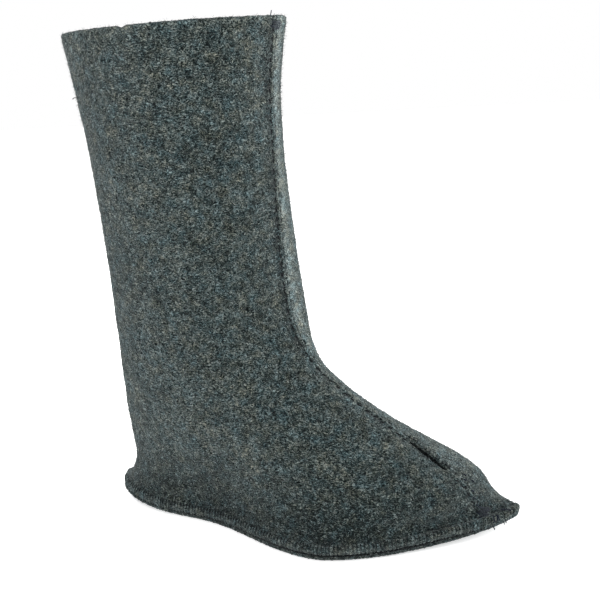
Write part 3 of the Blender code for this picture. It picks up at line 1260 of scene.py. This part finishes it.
    def painted_shading(self, section: Sequence[EdgePoint]) -> np.ndarray:
        """How much painted shade each point of a swept section gets: between ribs, in the cleft and
        under the edge toward the toe.

        Args:
            section: The points of the section, in order round it.

        Returns:
            One row for each station of the rim, from zero to one.
        """
        level, fall = self.VALLEY
        valley = np.clip(level - fall * self.rib, 0.0, 1.0)[:, None]
        dark = np.array([point.painted_shade for point in section])[None]
        in_cleft = [
            point.painted_shade >= self.CLEFT_SHADE and point.puff < self.CLEFT_PUFF for point in section
        ]
        low = [point.height < self.UNDERSIDE for point in section]
        toward_toe = rising(self.rim.points[:, 0], *self.UNDER_TOE)[:, None]
        under = np.array(low)[None] * toward_toe * self.UNDER_PAINTED_SHADE
        kept = 1.0 - self.TOE_SHADE_LOSS * self.at_tip[:, None]
        painted_dark = np.maximum(valley * dark, under) * kept
        closed = np.maximum(self.TOE_CLOSED * self.at_tip, self.BACK_CLOSED * self.at_back)
        return np.maximum(painted_dark, np.array(in_cleft)[None] * (1.0 - closed[:, None]))

    def thread_paths(self) -> list[list[Vector]]:
        """The way of each stitch, from its needle hole over the edge.

        Returns:
            One run of points for each stitch.
        """
        rows = [self.roll[index] for index in self.THREAD_POINTS]
        paths = []
        for station in range(0, len(self.rim.points), self.steps):
            path = []
            for point, rise in zip(rows, self.THREAD_RISES):
                place = self.rim.points[station] + self.inward[station] * point.inward * MM
                height = curl(self.rim.points[station, 0]) + point.height * MM
                on_felt, normal = self.felt.nearest(Vector((place[0], place[1], height)))
                path.append(on_felt + normal * rise * MM)
            paths.append(path)
        return paths

    def build(self) -> list[Piece]:
        """The rolled edge, the lip below it, and the thread in its valleys."""
        return [
            self.sweep("stitched_edge_roll", self.roll),
            self.sweep("stitched_edge_lip", self.lip),
            ThreadWork("edge_thread", EDGE_THREAD, 0.00030, 0, 2.6).build(self.thread_paths()),
        ]


@dataclass
class FeltNap:
    """Loose fibres on the felt's face, joined in one mesh."""

    name: str
    finish: NapFibre
    lie: FibreLie
    count: int
    length: tuple[float, float]
    width: tuple[float, float]
    seed: int
    inside_above: float = 0.30
    bend: float = 0.16
    lean: tuple[float, float] = (20, 78)
    least_height: float = 0.0002

    # Fewer fibres where shade is painted.
    PAINTED_SHADE_LIMIT = 0.40
    PAINTED_SHADE_SHARE = 0.10
    SEAM_MIDDLE = -1.2
    SEAM_HALF_WIDTH = 3.2
    SEAM_SHARE = 0.30
    CLEARED_SHARE = 0.12
    SHAFT_MIDDLE = (-0.072, 0.009)
    CLEARINGS = (
        ((0.1375, 0.0015, 0.0172), 0.0062),
        ((0.1445, 0.0022, 0.0136), 0.0045),
        ((0.0086, -0.0004, 0.3496), 0.0055),
    )
    PATTERN = ((0, 2, 1), (0, 3, 2), (0, 1, 3), (4, 1, 2), (4, 2, 3), (4, 3, 1))

    def build(self, carriers: Sequence[Piece], slot: str) -> Piece:
        """Sow the fibres over the carriers.

        Args:
            carriers: The felt pieces that they grow from.
            slot: Not used.

        Returns:
            The joined fibres.
        """
        rng = np.random.default_rng(self.seed)
        root, normal = self.sow(carriers, rng)
        count = len(root)
        side = rng.normal(size=(count, 3))
        side = unit_rows(side - normal * np.sum(side * normal, axis=1, keepdims=True))
        length = rng.uniform(*self.length, size=(count, 1))
        width = rng.uniform(*self.width, size=(count, 1))
        bend = np.cross(normal, side) * rng.normal(scale=self.bend, size=(count, 1)) * length
        if self.lie is FibreLie.PRESSED:
            start = root - side * length / 2 - normal * width * 0.5
            end = root + side * length / 2 - normal * width * 0.5
            middle = root + normal * width * rng.uniform(0.2, 0.9, size=(count, 1)) + bend
        else:
            lean = np.radians(rng.uniform(*self.lean, size=(count, 1)))
            half = lean * 0.5
            start = root - normal * 0.0002
            end = root + (normal * np.cos(lean) + side * np.sin(lean)) * length
            middle = root + (normal * np.cos(half) + side * np.sin(half)) * length * 0.5 + bend
        for points in (start, middle, end):
            points[:, 2] = np.maximum(points[:, 2], self.least_height)
        shade = rng.beta(0.85, 1.15, size=count)
        return self.join(start, middle, end, width, shade)

    def sow(
        self, carriers: Sequence[Piece], rng: np.random.Generator
    ) -> tuple[np.ndarray, np.ndarray]:
        """Places and outward directions spread evenly over the outer felt.

        Args:
            carriers: The felt pieces to sow.
            rng: The source of chance.

        Returns:
            The fibres' roots and the felt's outward direction at each.
        """
        parts = []
        shares = []
        for carrier in carriers:
            mesh = carrier.data
            mesh.calc_loop_triangles()
            corners = np.zeros(len(mesh.loop_triangles) * 3, dtype=np.int64)
            mesh.loop_triangles.foreach_get("vertices", corners)
            corners = corners.reshape(-1, 3)
            parts.append(places_of(mesh)[corners])
            painted_dark = number_of(mesh, "painted_shade")[corners].max(axis=1)
            beside = np.abs(number_of(mesh, "seam_away")[corners].mean(axis=1) - self.SEAM_MIDDLE)
            sewn = number_of(mesh, "seam_shown")[corners].mean(axis=1) > 0.5
            on_seam = (beside < self.SEAM_HALF_WIDTH) & sewn
            share = np.where(painted_dark > self.PAINTED_SHADE_LIMIT, self.PAINTED_SHADE_SHARE, 1.0)
            shares.append(share * np.where(on_seam, self.SEAM_SHARE, 1.0))
        triangle = np.concatenate(parts)
        normal = np.cross(triangle[:, 1] - triangle[:, 0], triangle[:, 2] - triangle[:, 0])
        area = np.linalg.norm(normal, axis=1) / 2 * np.concatenate(shares)
        normal = unit_rows(normal)
        centre = triangle.mean(axis=1)
        area = np.where(self.shows(centre, normal), area, 0.0)
        for middle, radius in self.CLEARINGS:
            close = np.linalg.norm(centre - np.array(middle), axis=1) < radius
            area = np.where(close, area * self.CLEARED_SHARE, area)
        chosen = rng.choice(len(area), size=self.count, p=area / area.sum())
        a, b = rng.random((2, self.count, 1))
        over = (a + b) > 1
        a = np.where(over, 1 - a, a)
        b = np.where(over, 1 - b, b)
        first, second, third = (triangle[chosen, corner] for corner in range(3))
        place = first + a * (second - first) + b * (third - first)
        return place, normal[chosen]

    def shows(self, middle: np.ndarray, normal: np.ndarray) -> np.ndarray:
        """Which faces can be seen: the outside, and the inside near the collar.

        Args:
            middle: The middle of each face.
            normal: The outward direction of each face.

        Returns:
            One truth value for each face.
        """
        from_shaft = middle[:, :2] - np.array(self.SHAFT_MIDDLE)
        outward = (from_shaft * normal[:, :2]).sum(axis=1) > 0
        outward = np.where(middle[:, 0] > 0.0, normal[:, 2] > -0.3, outward)
        underneath = (middle[:, 2] < 0.0055) & (normal[:, 2] < -0.5)
        return (outward | (middle[:, 2] > self.inside_above)) & ~underneath

    def join(
        self,
        start: np.ndarray,
        middle: np.ndarray,
        end: np.ndarray,
        width: np.ndarray,
        shade: np.ndarray,
    ) -> Piece:
        """One mesh of closed, pointed fibres with three sides each.

        Args:
            start: Where each fibre starts.
            middle: Where it is widest.
            end: Where it ends.
            width: How wide it is there.
            shade: How light it is, from zero to one.

        Returns:
            The finished piece.
        """
        count = len(start)
        along = unit_rows(end - start)
        upright = np.array([[0.0, 0.0, 1.0]])
        level = np.array([[1.0, 0.0, 0.0]])
        across = unit_rows(np.cross(along, np.where(np.abs(along[:, 2:3]) < 0.9, upright, level)))
        up = np.cross(across, along)
        ring = []
        for corner in range(3):
            angle = 2 * math.pi * corner / 3
            ring.append(middle + (across * math.cos(angle) + up * math.sin(angle)) * width / 2)
        points = np.stack([start, *ring, end], axis=1).reshape(-1, 3)
        faces = (np.array(self.PATTERN)[None] + 5 * np.arange(count)[:, None, None]).reshape(-1, 3)
        mesh = mesh_of(self.name, points, faces)
        set_number(mesh, "shade", np.repeat(shade, 5))
        piece = new_piece(self.name, mesh)
        mesh.materials.append(self.finish.material())
        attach(piece, "root")
        return piece


@dataclass
class ThreadWork:
    """Lengths of thread swept along their paths and joined in one mesh."""

    name: str
    thread: SewingThread
    radius: float
    roundness: int = 1
    hole: float = 1.0

    def build(self, paths: Iterable[Sequence[Vector]], slot: str = "felt_upper") -> Piece:
        """Sweep the thread along each path.

        Args:
            paths: One run of points for each length of thread.
            slot: Not used.

        Returns:
            The joined threads as a mesh.
        """
        curve = bpy.data.curves.new(self.name, "CURVE")
        curve.dimensions = "3D"
        curve.bevel_depth = self.radius
        curve.bevel_resolution = self.roundness
        curve.use_fill_caps = True
        for path in paths:
            spline = curve.splines.new("POLY")
            spline.points.add(len(path) - 1)
            for point, place in zip(spline.points, path):
                point.co = (*place, 1.0)
            for point in list(spline.points)[:2]:
                point.radius = self.hole
        piece = bpy.data.objects.new(self.name, curve)
        bpy.context.scene.collection.objects.link(piece)
        make_active(piece)
        bpy.ops.object.convert(target="MESH")
        piece = bpy.context.object
        piece.name = self.name
        bpy.ops.object.shade_smooth()
        piece.data.materials.clear()
        piece.data.materials.append(self.thread.material())
        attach(piece, "root")
        return piece


@dataclass
class FeltBead:
    """A soft raised edge of felt that runs along a seam."""

    name: str
    path: Polyline
    felt: Surface
    shift: Triple
    width: float
    proud: float
    pitch: float
    dip: float = 0.35
    uneven: tuple[float, float] = (0.85, 1.15)
    taper_points: int = 6
    least_size: float = 0.05
    seed: int = 31
    around: int = 8

    def build(self) -> Piece:
        """Lay the bead on the felt beside the seam.

        Returns:
            The finished piece.
        """
        rng = np.random.default_rng(self.seed)
        count = len(self.path.points)
        ahead = self.path.directions()
        share = np.arange(count) / max(count - 1, 1)
        to_end = np.minimum(share, 1 - share) * count
        taper = np.clip(to_end / self.taper_points, 0.0, 1.0) ** 0.5
        beat = np.cos(np.arange(count) * self.path.spacing() / self.pitch * 2 * math.pi)
        size = taper * (1.0 - self.dip * np.clip(beat, 0.0, 1.0))
        size = size * rng.uniform(*self.uneven, size=count)
        rings = []
        for index in range(count):
            place, normal = self.felt.nearest(Vector(self.path.points[index]) + Vector(self.shift))
            forward = Vector(ahead[index])
            side = forward.cross(normal).normalized()
            for corner in range(self.around):
                angle = 2 * math.pi * corner / self.around
                across = side * math.cos(angle) * self.width / 2
                above = normal * (math.sin(angle) * self.proud)
                rings.append(place + (across + above) * max(float(size[index]), self.least_size))
        points = np.array([tuple(point) for point in rings])
        mesh = mesh_of(self.name, points, tube_faces(count, self.around, closed=False))
        return dress_tube(new_piece(self.name, mesh), LAP_FELT, self.around)


@dataclass
class FrontSeam:
    """The sewing down the front, from the collar to the toe."""

    line: Polyline
    felt: Surface
    slit_low: float = 0.0445
    slit_high: float = 0.0680
    pitch: float = 0.0064
    slant: float = 0.0026
    whip_pitch: float = 0.0030

    NEAR_HOLE = (0.0, -0.0036, 0.0)
    FAR_HOLE = (0.0, -0.0026, 0.0)
    STITCH_RISE = 0.00022
    WHIP_OUT = (0.0, 0.0008, 0.0)
    WHIP_OVER = (-0.0006, 0.0037, 0.0)
    WHIP_RISE = 0.00115
    LAP_TOP = 0.3530
    LAP_BOTTOM = 0.0150
    LAP_SHIFT = (0.0, -0.0010, 0.0)
    FAR_LIP_SHIFT = (0.0, 0.0021, 0.0)
    NEAR_LIP_SHIFT = (0.0, -0.0019, 0.0)

    def seam_stitches(self) -> list[list[Vector]]:
        """The small slanted stitches just before the seam.

        Returns:
            One path for each stitch.
        """
        spacing = self.line.spacing()
        step = int(round(self.pitch / spacing))
        paths = []
        for index in range(step, len(self.line.points) - step, step):
            here = Vector(self.line.points[index])
            if self.slit_low < here.z < self.slit_high:
                continue
            there = Vector(self.line.points[index + int(round(self.slant / spacing))])
            near_hole = here + Vector(self.NEAR_HOLE)
            far_hole = there + Vector(self.FAR_HOLE)
            paths.append(self.felt.lay(near_hole, far_hole, self.STITCH_RISE))
        return paths

    def slit_stitches(self) -> list[list[Vector]]:
        """The whip stitches over the slit's far lip.

        Returns:
            One path for each stitch.
        """
        lips = self.line.between(self.slit_low, self.slit_high)
        step = max(int(round(self.whip_pitch / lips.spacing())), 1)
        paths = []
        for index in range(1, len(lips.points) - 1, step):
            here = Vector(lips.points[index])
            out = here + Vector(self.WHIP_OUT)
            over = here + Vector(self.WHIP_OVER)
            paths.append(self.felt.lay(out, over, self.WHIP_RISE))
        return paths

    def build(self) -> list[Piece]:
        """Lay the lap, the slit's lips and the stitches.

        Returns:
            The six finished pieces.
        """
        above = self.line.between(self.slit_high - 0.002, self.LAP_TOP)
        below = self.line.between(self.LAP_BOTTOM, self.slit_low + 0.001)
        slit = self.line.between(self.slit_low - 0.001, self.slit_high + 0.001)
        beads = (
            ("front_lap", above, self.LAP_SHIFT, 0.0022, 0.00060, self.pitch),
            ("toe_lap", below, self.LAP_SHIFT, 0.0022, 0.00055, self.pitch),
            ("slit_far_lip", slit, self.FAR_LIP_SHIFT, 0.0026, 0.0011, self.whip_pitch),
            ("slit_near_lip", slit, self.NEAR_LIP_SHIFT, 0.0018, 0.0005, self.pitch),
        )
        return [
            *(FeltBead(name, path, self.felt, *sizes).build() for name, path, *sizes in beads),
            ThreadWork("front_stitches", EDGE_THREAD, 0.00052).build(self.seam_stitches()),
            ThreadWork("slit_stitches", SEAM_THREAD, 0.00030).build(self.slit_stitches()),
        ]


@dataclass
class BarTack:
    """A block of close stitches that ends the sewing."""

    name: str
    felt: Surface
    corners: tuple[Triple, Triple, Triple]
    strokes: int
    radius: float = 0.00032
    wander: float = 0.00100
    rise: tuple[float, float] = (0.0003, 0.0009)
    seed: int = 41

    def build(self) -> Piece:
        """Lay the strokes side by side across the block.

        Returns:
            The finished piece.
        """
        rng = np.random.default_rng(self.seed)
        first, across, down = (Vector(corner) for corner in self.corners)
        paths = []
        for stroke in range(self.strokes):
            offset = (down - first) * (stroke / (self.strokes - 1))
            wander = Vector(rng.normal(scale=self.wander, size=3))
            start = first + offset + wander
            end = across + offset - wander
            paths.append(self.felt.lay(start, end, float(rng.uniform(*self.rise)), 8))
        return ThreadWork(self.name, TACK_THREAD, self.radius).build(paths)


@dataclass
class LooseThreads:
    """Thread ends and strokes left by the sewing, each as a run of points."""

    felt: Surface
    edge: Surface

    KNOTS = (
        (0.1234, 0.0061, 0.0409), (0.1239, 0.0031, 0.0386), (0.1287, 0.0070, 0.0365),
        (0.1294, 0.0026, 0.0312), (0.1303, 0.0008, 0.0269), (0.1323, 0.0009, 0.0217),
        (0.1335, -0.0012, 0.0165), (0.1352, -0.0030, 0.0145), (0.1380, -0.0026, 0.0138),
    )
    KNOT_REACH = (0.0009, 0.0004, -0.0007)
    STROKE_ROOT = (0.1400, 0.0008, 0.0148)
    STROKE_FALL = (0.0024, -0.0024, -0.0048)
    STROKES = 5
    LOOPS = ((0.1482, 0.0098), (0.1500, 0.0108), (0.1518, 0.0116), (0.1536, 0.0120))
    LOOP_HEIGHT = 0.0160
    TUFTS = (
        (0.1440, -0.0030, 0.0078), (0.1450, -0.0022, 0.0080),
        (0.1500, 0.0040, 0.0100), (0.1510, 0.0050, 0.0104),
    )
    COLLAR_ROOT = (0.0068, -0.0050, 0.3535)
    COLLAR_LIFTS = (
        (0.0, 0.0, 0.0), (-0.0002, 0.0, 0.0016),
        (0.0003, 0.0002, 0.0034), (0.0007, 0.0004, 0.0052),
    )
    BACK_ROOT = (-0.1430, -0.0100, 0.3120)

    def strokes(self) -> list[list[Vector]]:
        """Bluish strokes that fan out beside the toe's tack.

        Returns:
            One path for each stroke.
        """
        x, y, z = self.STROKE_ROOT
        paths = []
        for stroke in range(self.STROKES):
            start = Vector((x + 0.0014 * stroke, y + 0.0008 * stroke, z))
            end = start + Vector(self.STROKE_FALL)
            paths.append(self.edge.lay(start, end, 0.00040, 7))
        return paths

    def knots(self) -> list[list[Vector]]:
        """Dark stitches at the needle holes between the slit and the tack.

        Returns:
            One path for each stitch.
        """
        reach = Vector(self.KNOT_REACH)
        middles = [Vector(place) for place in self.KNOTS]
        return [self.felt.lay(middle - reach, middle + reach, 0.00035, 5) for middle in middles]

    def loops(self) -> list[list[Vector]]:
        """Small loops of thread at the tip of the toe.

        Returns:
            One path for each loop.
        """
        paths = []
        for x, y in self.LOOPS:
            path = []
            for share in np.linspace(0.0, 1.0, 9):
                angle = math.pi * float(share)
                rise = 0.0006 + 0.0010 * math.sin(angle)
                along = x + 0.0011 * math.cos(angle)
                beside = y - 0.0020 * math.sin(angle)
                place, normal = self.felt.nearest(Vector((along, beside, self.LOOP_HEIGHT)))
                path.append(place + normal * (rise if 0.1 < share < 0.9 else -0.0005))
            paths.append(path)
        return paths

    def tufts(self) -> list[list[Vector]]:
        """Short ends that stick out below the edge at the toe.

        Returns:
            One path for each end.
        """
        paths = []
        for root in self.TUFTS:
            place, normal = self.edge.nearest(Vector(root))
            out = place + normal * 0.0008 + Vector((0.0003, 0.0, -0.0010))
            tip = place + normal * 0.0012 + Vector((0.0008, 0.0, -0.0024))
            paths.append([place - normal * 0.0008, out, tip])
        return paths

    def collar_end(self) -> list[list[Vector]]:
        """The end that stands up from the collar at the seam."""
        root = Vector(self.COLLAR_ROOT)
        return [[root + Vector(lift) for lift in self.COLLAR_LIFTS]]

    def back_end(self) -> list[list[Vector]]:
        """The short black end at the back of the shaft.

        Returns:
            The one path.
        """
        place, normal = self.felt.nearest(Vector(self.BACK_ROOT))
        out = place + Vector((-0.0020, -0.0002, 0.0002))
        tip = place + Vector((-0.0030, -0.0008, -0.0007))
        return [[place - normal * 0.001, out, tip]]

    def build(self) -> list[Piece]:
        """Lay every loose end.

        Returns:
            The six finished pieces.
        """
        return [
            ThreadWork("toe_strokes", NAVY_THREAD, 0.00040).build(self.strokes()),
            ThreadWork("toe_knots", NAVY_THREAD, 0.00050).build(self.knots()),
            ThreadWork("toe_loops", NAVY_THREAD, 0.00036).build(self.loops()),
            ThreadWork("toe_tufts", NAVY_THREAD, 0.00030).build(self.tufts()),
            ThreadWork("collar_thread_end", TACK_THREAD, 0.00032).build(self.collar_end()),
            ThreadWork("back_thread_end", BLACK_THREAD, 0.00030).build(self.back_end()),
        ]


@dataclass
class Studio:
    """Floor, lights and camera."""

    eye: Vector = field(default_factory=lambda: Vector((0.23634, -0.55629, 0.318)))
    look_at: Vector = field(default_factory=lambda: Vector((0.00783, 0.00929, 0.1624)))
    roll: float = math.radians(3.95)
    lens: float = 53.11

    LAMP_SIZE = (0.4, 0.5)
    LAMP_AIM = (0.0, 0.0, 0.17)

    def build(self) -> None:
        """Set up the floor, the lights and the camera."""
        self.floor()
        self.light("rim_right", (0.97, 0.70, 0.21), 19.0)
        self.light("rim_left", (-0.95, 0.70, 0.30), 14.0)
        world = bpy.data.worlds.new("studio")
        world.use_nodes = True
        background = world.node_tree.nodes["Background"]
        background.inputs["Color"].default_value = (1.0, 1.0, 1.0, 1.0)
        background.inputs["Strength"].default_value = 1.0
        bpy.context.scene.world = world
        bpy.context.scene.view_settings.view_transform = "Standard"
        self.camera()

    def floor(self) -> None:
        """A wide pale floor."""
        deselect_all()
        bpy.ops.mesh.primitive_plane_add(size=12.0, location=(0.0, 0.0, 0.0))
        floor = bpy.context.object
        floor.name = "floor"
        shader = Shader("floor_paper")
        shader.set_constants(Base_Color=(0.92, 0.92, 0.92, 1.0), Roughness=0.9, Emission_Strength=0.5)
        floor.data.materials.append(shader.material)

    def light(self, name: str, place: Triple, power: float) -> None:
        """One soft rectangular light turned to the boot.

        Args:
            name: The light's name.
            place: Where it stands.
            power: How strong it is, in watts.
        """
        data = bpy.data.lights.new(name, "AREA")
        data.shape = "RECTANGLE"
        data.size, data.size_y = self.LAMP_SIZE
        data.energy = power
        lamp = bpy.data.objects.new(name, data)
        lamp.location = place
        aim = Vector(self.LAMP_AIM) - Vector(place)
        lamp.rotation_euler = aim.to_track_quat("-Z", "Y").to_euler()
        bpy.context.scene.collection.objects.link(lamp)

    def camera(self) -> None:
        """The camera at the photograph's angle to the boot."""
        data = bpy.data.cameras.new("camera")
        data.sensor_width = 36.0
        data.lens = self.lens
        data.clip_start = 0.01
        camera = bpy.data.objects.new("camera", data)
        forward = (self.look_at - self.eye).normalized()
        right = forward.cross(Vector((0.0, 0.0, 1.0))).normalized()
        up = right.cross(forward)
        turned_right = right * math.cos(self.roll) - up * math.sin(self.roll)
        turned_up = right * math.sin(self.roll) + up * math.cos(self.roll)
        axes = Matrix((turned_right, turned_up, -forward)).transposed()
        camera.matrix_world = Matrix.Translation(self.eye) @ axes.to_4x4()
        bpy.context.scene.collection.objects.link(camera)
        bpy.context.scene.camera = camera


# The sole's upper edge ring, above the curled underside, and how far it may be off.
RING_HEIGHT = 0.00375
RING_REACH = 0.0003

# The front seam's height and its distance to the boot's inner side at that height.
SEAM_HEIGHTS = (0.014, 0.022, 0.060, 0.078, 0.110, 0.150, 0.200, 0.310, 0.332, 0.355)
SEAM_SIDES = (0.0013, 0.0011, 0.0003, 0.0013, 0.0023, 0.0013, 0.0003, 0.0003, -0.0001, -0.0007)
SEAM_TOP = 0.3548
SEAM_BOTTOM = 0.0145
SEAM_PROBES = 130
SEAM_JUMP = 0.012


def rim_line(sole: Piece, count: int) -> Polyline:
    """The line round the edge, at the height where flange and sole meet.

    Args:
        sole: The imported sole, whose upper edge ring is read.
        count: Number of equal lengths to cut the line into.

    Returns:
        A closed line that runs once round the boot.
    """
    ring: dict[tuple[int, int], Vector] = {}
    for vertex in sole.data.vertices:
        if abs(vertex.co.z - curl(vertex.co.x) - RING_HEIGHT) < RING_REACH:
            key = (round(vertex.co.x * 1e4), round(vertex.co.y * 1e4))
            ring[key] = vertex.co.copy()
    ordered = sorted(ring.values(), key=lambda place: math.atan2(place.y - 0.005, place.x))
    return Polyline.evenly(ordered, count, closed=True)


def seam_line(upper: Surface, count: int) -> Polyline:
    """The line of the front seam, from the collar to the toe's edge.

    Args:
        upper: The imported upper's surface.
        count: Number of equal lengths to cut the line into.

    Returns:
        An open line that runs down the front.
    """
    rough = []
    for z in np.linspace(SEAM_TOP, SEAM_BOTTOM, SEAM_PROBES):
        side = float(np.interp(z, SEAM_HEIGHTS, SEAM_SIDES))
        place = upper.from_front(side, float(z))
        if place is not None:
            rough.append(place)
    keep = [rough[0]]
    for place in rough[1:]:
        if (place - keep[-1]).length < SEAM_JUMP or place.x > keep[-1].x:
            keep.append(place)
    return Polyline.evenly(keep, count, closed=False)


def report(piece: Piece) -> None:
    """Log one finished piece and its size."""
    LOG.info("%s: %d triangles", piece.name, triangles_in(piece))


# Stations round the edge in one stitch, the number of stitches, and points down the seam.
STITCH_STEPS = 6
EDGE_STITCHES = 262
SEAM_POINTS = 430

# The first, last and lowest corner of each bar tack.
COLLAR_CORNERS = ((0.0070, -0.0048, 0.3520), (0.0101, 0.0040, 0.3520), (0.0063, -0.0046, 0.3471))
TOE_CORNERS = ((0.1329, 0.0009, 0.0203), (0.1397, 0.0057, 0.0179), (0.1348, -0.0022, 0.0146))

# Length and width of the fibres that lie on the felt and of those that stand off it.
WISP = ((0.0014, 0.0038), (0.00016, 0.00046))
FUZZ = ((0.0008, 0.0030), (0.00007, 0.00016))


def main() -> None:
    """Build every piece in order and log the size of each."""
    logging.basicConfig(level=logging.INFO, format="%(name)s %(message)s")
    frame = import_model()
    deselect_all()
    rim = rim_line(frame["nodes"]["sole"], EDGE_STITCHES * STITCH_STEPS)
    seam = seam_line(Surface(frame["nodes"]["upper"]), SEAM_POINTS)
    upper = FeltUpper("upper", "felt_upper_wall", UPPER_FELT, "felt_upper").build(frame, seam)
    sole = FeltSole("sole", "felt_sole_plate", SOLE_FELT, "felt_sole").build(frame)
    felt = Surface(upper)
    edge = StitchedEdge(rim, STITCH_STEPS, felt).build()
    made = [upper, sole, *edge]
    made += FrontSeam(seam, felt).build()
    made.append(BarTack("collar_tack", felt, COLLAR_CORNERS, 6).build())
    made.append(BarTack("toe_tack", felt, TOE_CORNERS, 9).build())
    made += LooseThreads(felt, Surface(edge[0])).build()
    nap = NapFibre("felt_nap", NAP_SHADES)
    layers = (
        ("pressed_nap", FibreLie.PRESSED, 33000, *WISP, 11),
        ("pressed_nap_second", FibreLie.PRESSED, 33000, *WISP, 12),
        ("standing_nap", FibreLie.STANDING, 32000, *FUZZ, 13),
    )
    for name, *details in layers:
        made.append(FeltNap(name, nap, *details).build([upper, edge[0]], "felt_upper"))
    sole_nap = FeltNap("sole_nap", nap, FibreLie.PRESSED, 9000, *WISP, 14)
    made.append(sole_nap.build([sole, edge[1]], "felt_sole"))
    Studio().build()
    for piece in made:
        report(piece)


if __name__ == "__main__":
    main()
